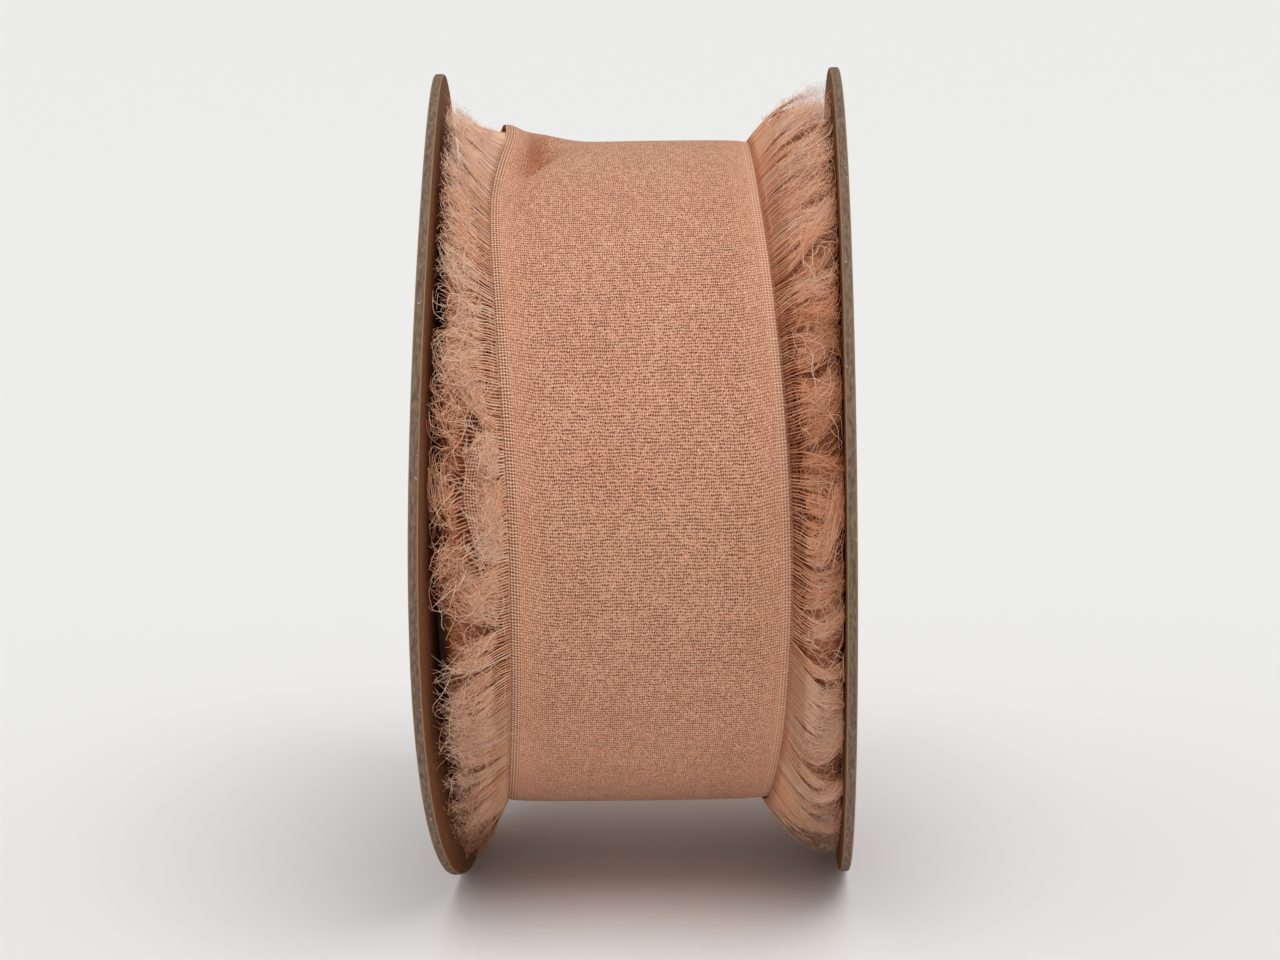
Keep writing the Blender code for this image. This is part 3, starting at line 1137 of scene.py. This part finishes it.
def gather_yarns(layer, draw):
    """Each yarn's start, its clump, and how far it leans to the middle of its clump."""
    count = layer["yarns"]
    clumps = layer["clumps"]
    spread = draw.uniform(-START_SPREAD, START_SPREAD, count)
    start = 2 * math.pi * (np.arange(count) + spread) / count
    clump_size = 2 * math.pi / clumps
    uneven = CLUMP_UNEVEN * np.sin(start * CLUMP_WAVES)
    clump = np.floor(start / clump_size + uneven).astype(int) % clumps
    off_middle = draw.uniform(-CLUMP_SPREAD, CLUMP_SPREAD, clumps)[clump]
    clump_angle = (clump + 0.5 + off_middle) * clump_size
    lean = np.remainder(clump_angle - start + math.pi, 2 * math.pi) - math.pi
    return start[:, None], clump, lean[:, None]


def layer_edge(side, layer, start):
    """The x that a layer's yarns start from."""
    own_edges = [side * (band_edge(side, start) + turn_shift(turn + 0 * start, start))
                 for turn in layer["turns"]]
    return side * (np.max(own_edges, axis=0) - layer["bite"])


# %% [markdown]
# A yarn's path is worked out as three lengths: how far out it goes to the disc, how far round the
# reel, and its radius. It sweeps down and curls up again, each clump a little differently, and it
# rises on the turns below as it nears the disc. A yarn is paler or darker than its neighbours.

# %% The paths of a layer's yarns
YARN_LENGTH = {-1: 6.8 * MM, 1: 8.6 * MM}
CREASE_EXTRA = 2.0 * MM
REACH_LOW = {-1: 0.70, 1: 0.92}
CLUMP_REACH = (0.04, 1.06)
SHORTEST = 0.3
RINGS = 14
ROOT_SHARE = 0.17
WAY = np.linspace(0, 1, RINGS)[None, :]
FREE = np.clip((WAY - ROOT_SHARE) / (1 - ROOT_SHARE), 0, 1)
BEND_BACK = 0.10
SPARE_LIFT = 0.12
CLUMP_RISE = 0.24 * MM
CLUMP_SWEEP = 0.50 * MM
YARN_SWEEP = 0.30 * MM


def layer_yarns(side, layer, draw):
    """The paths and tones of one layer's yarns."""
    start, clump, lean = gather_yarns(layer, draw)
    count = layer["yarns"]
    clumps = layer["clumps"]

    def by_clump(mean, spread):
        return draw.normal(mean, spread, clumps)[clump][:, None]

    # shaded_tone is the tables' painted shade
    dip, curl, mess, fill, shaded_tone = lie(side, start)
    mess = mess * layer["mess"]
    edge = layer_edge(side, layer, start)
    room = side * (disc_face(side, layer["radius"] + layer["rise"], start) - edge)
    at_crease = bump_at(start, CREASE_ANGLE, CREASE_SPAN) if side < 0 else 0.0
    length = YARN_LENGTH[side] + CREASE_EXTRA * at_crease
    short = 1 - (1 - fill) * layer["parts"] * by_clump(0.8, 0.25)
    reach = np.minimum(length, room) * np.clip(short, SHORTEST, 1)
    longest = CLUMP_REACH[1]
    reach = reach * draw.uniform(REACH_LOW[side] + CLUMP_REACH[0], longest, clumps)[clump][:, None]

    pull = np.clip(by_clump(0.55, 0.22), 0.1, 1.0) * layer["gather"]
    pull = pull * np.clip(0.45 + 0.4 * mess, 0, 1)
    out = reach * (WAY - BEND_BACK * WAY ** 3)
    rise = pile_rise(side, np.clip(out / room, 0, 1), start)
    radius = layer["radius"] + layer["rise"] * by_clump(1, 0.13) * rise
    radius = radius + CREASE_LIFT * at_crease * (1 - WAY)
    spare = np.clip(length - room, 0, None)
    radius = radius + spare * SPARE_LIFT * np.sin(math.pi * WAY)
    radius = radius + soft_noise(draw, clumps, FREE, CLUMP_RISE)[clump] * mess
    lead = (WAY + 2 * FREE) / 3
    arc = -dip * by_clump(1, 0.35) * lead * (1 - 0.3 * lead)
    arc = arc + curl * by_clump(1, 0.40) * WAY ** 3
    arc = arc + lean * layer["radius"] * pull * FREE ** 0.9
    arc = arc + soft_noise(draw, clumps, FREE, CLUMP_SWEEP)[clump] * mess
    arc = arc + soft_noise(draw, count, FREE, YARN_SWEEP) * mess
    tone = shaded_tone + draw.normal(layer["tone"], 0.10, (count, 1)) + by_clump(0, 0.08)
    return dict(start=start, edge=edge, room=room, mess=mess, out=out, rise=rise,
                radius=radius, arc=arc, tone=tone)


# %% [markdown]
# A yarn has a body, which thins and ends half way, and filaments. They start in the body, part from
# it and curl, each with wiggles and a length of its own. Where a filament ends nearer to the woven
# edge than its yarn does, it lies lower too.

# %% Bodies and filaments
BODY_RINGS = 8
BODY_PALER = 0.08
BODY_TAPER = 0.85
FILAMENT_REACH = (0.02, 1.04)
FILAMENT_SWEEP = 0.46 * MM
FILAMENT_RISE = 0.26 * MM
FILAMENT_OUT = 0.30 * MM
UNEVEN = (0.8, 1.2)


def yarn_bodies(side, layer, draw, yarns):
    """The bodies of a layer's yarns, as paths, thicknesses and tones."""
    radius = yarns["radius"]
    angle = yarns["start"] + yarns["arc"] / radius
    x = keep_off_disc(side, yarns["edge"] + side * yarns["out"], radius, angle)
    taper = layer["thick"] * (1 - BODY_TAPER * np.linspace(0, 1, BODY_RINGS) ** 1.3)
    thickness = taper * draw.uniform(0.85, 1.15, (layer["yarns"], 1))
    gap = disc_gap(side, x, radius, angle)
    tone = pile_tone(yarns["tone"] + BODY_PALER, radius, WAY, gap)
    return place(x, radius, angle)[:, :BODY_RINGS], thickness, tone[:, :BODY_RINGS]


def yarn_filaments(side, layer, draw, yarns):
    """The filaments of a layer's yarns, as paths, thicknesses and tones."""
    owner = np.repeat(np.arange(layer["yarns"]), layer["filaments"])
    strands = len(owner)
    own = [values[owner] for values in yarns.values()]
    start, edge, room, stray, out, rise, radius, arc, tone = own
    own_reach = draw.uniform(REACH_LOW[side] + FILAMENT_REACH[0], FILAMENT_REACH[1], (strands, 1))
    arc = arc + soft_noise(draw, strands, FREE, FILAMENT_SWEEP) * stray
    arc = arc + crimp(draw, strands, FREE)
    radius = radius + soft_noise(draw, strands, FREE, FILAMENT_RISE) * stray
    radius = radius + crimp(draw, strands, FREE)
    out = out * (1 - (1 - own_reach) * FREE)
    out = out + soft_noise(draw, strands, FREE, FILAMENT_OUT) * stray
    own_rise = pile_rise(side, np.clip(out / room, 0, 1), start)
    radius = radius + layer["rise"] * (own_rise - rise)
    angle = start + arc / radius
    x = keep_off_disc(side, edge + side * out, radius, angle)
    fine = layer["fine"] * (1 - 0.5 * WAY) * draw.uniform(*UNEVEN, (strands, 1))
    tone = tone + draw.normal(0.06, 0.10, (strands, 1))
    tone = pile_tone(tone, radius, WAY, disc_gap(side, x, radius, angle))
    return place(x, radius, angle)[:, 1:], fine[:, 1:], tone[:, 1:]


def fray_layer(side, layer, draw):
    """The bodies and the filaments of one layer."""
    yarns = layer_yarns(side, layer, draw)
    return yarn_bodies(side, layer, draw, yarns), yarn_filaments(side, layer, draw, yarns)


# %% [markdown]
# The outermost layer has every yarn, with nine filaments each. The layers below it are sparser
# and darker, with painted shade, lie lower, and fill the room down to the winding's body. A layer
# is a dict of its own numbers.

# %% Layers of frays, from the outermost down
PICKS_A_TURN = 704
OUTER_LAYER = dict(
    turns=(0.5,), yarns=PICKS_A_TURN, clumps=78, filaments=9, radius=34.85 * MM, rise=4.7 * MM,
    gather=1.0, mess=1.0, thick=0.088 * MM, fine=0.023 * MM, tone=0.68, bite=0.25 * MM, parts=1.0,
)
# the deep layers' lower tone is painted shade
DEEP_LAYERS = (
    dict(turns=(0.5, 1.5), yarns=520, clumps=61, filaments=5, radius=34.0 * MM, rise=4.1 * MM,
         gather=0.9, mess=1.2, thick=0.09 * MM, fine=0.029 * MM, tone=0.44, bite=0.3 * MM,
         parts=0.0),
    dict(turns=(0.5, 1.5, 2.5), yarns=400, clumps=53, filaments=3, radius=33.1 * MM, rise=2.6 * MM,
         gather=0.8, mess=1.2, thick=0.10 * MM, fine=0.034 * MM, tone=0.30, bite=0.3 * MM,
         parts=0.0),
)


def frays(name, side, seed):
    """The frays of one side, in three pieces, and the paths of the outermost filaments."""
    draw = np.random.default_rng(seed)
    layers = [fray_layer(side, layer, draw) for layer in (OUTER_LAYER,) + DEEP_LAYERS]
    bodies = [layer[0] for layer in layers]
    filaments = [layer[1] for layer in layers]
    pieces = [
        strand_piece(name + "_yarns", side, tubes, bodies),
        strand_piece(name + "_outer", side, strips, filaments[:1]),
        strand_piece(name + "_deep", side, strips, filaments[1:]),
    ]
    return pieces, filaments[0][0]


left_pieces, left_paths = frays("frays_left", -1, 21)
right_pieces, right_paths = frays("frays_right", 1, 23)
fray_pieces = left_pieces + right_pieces

# %% [markdown]
# The twist of the yarn has opened, and its finest fibres stand off all over. They give the pile
# its soft, cotton-like look. Each is a short bent hair that grows out of one of the outermost
# filaments, somewhere past its root, mostly onwards. The winding was pressed and handled, so no
# hair stands far off the pile.

# %% Fluff
FLUFF_HAIRS = 9000
FLUFF_RINGS = 5
FLUFF_SIZE = 0.016 * MM
FLUFF_FROM = 2
FLUFF_STAND = 0.55 * MM
FLUFF_LENGTHS = (0.5, 1.7)
FLUFF_ONWARD = 0.6
FLUFF_OUTWARD = 0.12
FLUFF_SCATTER = 0.50
FLUFF_BEND = 0.6
FLUFF_TONE = 0.74
TONE_SPREAD = 0.12


def fluff(name, side, paths, seed):
    """Short fine hairs that grow out of the strands of one side."""
    draw = np.random.default_rng(seed)
    strand = draw.integers(0, len(paths), FLUFF_HAIRS)
    ring = draw.integers(FLUFF_FROM, paths.shape[1], FLUFF_HAIRS)
    start = paths[strand, ring]
    onward = unit(start - paths[strand, ring - 1])
    scatter = draw.normal(0, FLUFF_SCATTER, (FLUFF_HAIRS, 3))
    heading = unit(FLUFF_ONWARD * onward + FLUFF_OUTWARD * outward_at(start) + scatter)
    bend = draw.normal(0, FLUFF_BEND, (FLUFF_HAIRS, 3))
    length = draw.uniform(*FLUFF_LENGTHS, (FLUFF_HAIRS, 1, 1)) * MM
    share = np.linspace(0, 1, FLUFF_RINGS)[None, :, None]
    points = start[:, None] + length * (heading[:, None] * share + bend[:, None] * share ** 2)
    depth, rise = -points[..., 1], points[..., 2] - AXIS_HEIGHT
    radius = np.hypot(depth, rise)
    angle = np.arctan2(rise, depth) - FACING
    stand = (radius - radius[:, :1]) / FLUFF_STAND
    radius = radius[:, :1] + FLUFF_STAND * np.minimum(stand, np.tanh(stand))
    x = keep_off_disc(side, points[..., 0] - REEL_MIDDLE, radius, angle)
    points = place(x, radius, angle)
    uneven = draw.uniform(*UNEVEN, (FLUFF_HAIRS, 1))
    thickness = FLUFF_SIZE * (1 - 0.4 * share[..., 0]) * uneven
    # a random tone plus the tables' painted shade
    shaded_tone = draw.normal(FLUFF_TONE, TONE_SPREAD, (FLUFF_HAIRS, 1)) + lie(side, angle)[4]
    tone = pile_tone(shaded_tone, radius, 0.6, disc_gap(side, x, radius, angle))
    return strand_piece(name, side, strips, [(points, thickness, tone)])


fray_pieces.append(fluff("fluff_left", -1, left_paths, 41))
fray_pieces.append(fluff("fluff_right", 1, right_paths, 42))

# %% [markdown]
# Some filaments have come loose and lie across the pile. They are what makes it look fluffy.
# Each one starts somewhere on top of the pile, mostly where the yarns are messy, and its heading
# turns slowly as it goes, so it makes an open curl. It rests on the pile below it, which rises
# from the woven edge to the disc.

# %% Loose filaments
LOOSE_HAIRS = 360
HAIR_RINGS = 14
HAIR_SIZE = 0.024 * MM
SOFT_STOP = 0.30
HAIR_LENGTHS = (2.5, 7.0)
HAIR_STARTS = (0.10, 0.75)
HAIR_ARCH = (-0.1, 1.0)
HAIR_TURN = 1.5
HAIR_TONE = 0.78
DISC_AT = 39 * MM


def loose_hairs(name, side, seed):
    """Single pale filaments that lie across the frays of one side."""
    draw = np.random.default_rng(seed)
    tries = draw.uniform(0, 2 * math.pi, 3 * LOOSE_HAIRS)
    mess = lie(side, tries)[2]
    start = tries[draw.uniform(0, 2.0, len(tries)) < mess][:LOOSE_HAIRS][:, None]
    count = len(start)
    step = draw.uniform(*HAIR_LENGTHS, (count, 1)) * MM / HAIR_RINGS
    heading = draw.normal(0, 0.9, (count, 1))
    heading = heading + np.where(draw.uniform(0, 1, (count, 1)) < 0.5, 0, math.pi)
    turning = draw.normal(0, HAIR_TURN, (count, 1)) / HAIR_RINGS
    rings = np.arange(HAIR_RINGS)[None, :]
    heading = heading + turning * rings + 0.25 * np.sin(0.7 * rings + heading * 5)
    along = np.cumsum(step * np.cos(heading), axis=1)
    edge = band_edge(side, start)
    room = side * disc_face(side, DISC_AT, start) - side * edge
    first = draw.uniform(*HAIR_STARTS, (count, 1)) * room
    way = np.clip((first + np.cumsum(step * np.sin(heading), axis=1)) / room, 0.04, None)
    over = np.clip(way - (1 - SOFT_STOP), 0, None)
    way = np.minimum(way, 1 - SOFT_STOP) + SOFT_STOP * np.tanh(over / SOFT_STOP)
    out = way * room
    top = OUTER_LAYER["radius"] + OUTER_LAYER["rise"] * pile_rise(side, way, start)
    share = rings / (HAIR_RINGS - 1)
    arch = draw.uniform(*HAIR_ARCH, (count, 1)) * MM * np.sin(math.pi * share ** 0.8)
    radius = top + arch + soft_noise(draw, count, share, 0.2 * MM)
    angle = start + along / radius
    x = keep_off_disc(side, band_edge(side, angle) + side * out, radius, angle)
    paths = place(x, radius, angle)
    thickness = HAIR_SIZE * (1 - 0.5 * share) * draw.uniform(*UNEVEN, (count, 1))
    tone = draw.normal(HAIR_TONE, TONE_SPREAD, (count, 1))
    tone = pile_tone(tone, radius, 0.7, disc_gap(side, x, radius, angle))
    return strand_piece(name, side, strips, [(paths, thickness, tone)])


fray_pieces.append(loose_hairs("loose_hairs_left", -1, 31))
fray_pieces.append(loose_hairs("loose_hairs_right", 1, 32))

# %% [markdown]
# The box of the dressed reel is worked out and printed beside the box of the solids.

dressed_box = [list(corner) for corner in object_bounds()]
for label, box in (("solids", solids_box), ("dressed", dressed_box)):
    print(label, [round((high - low) / MM, 1) for low, high in zip(*box)], "mm")
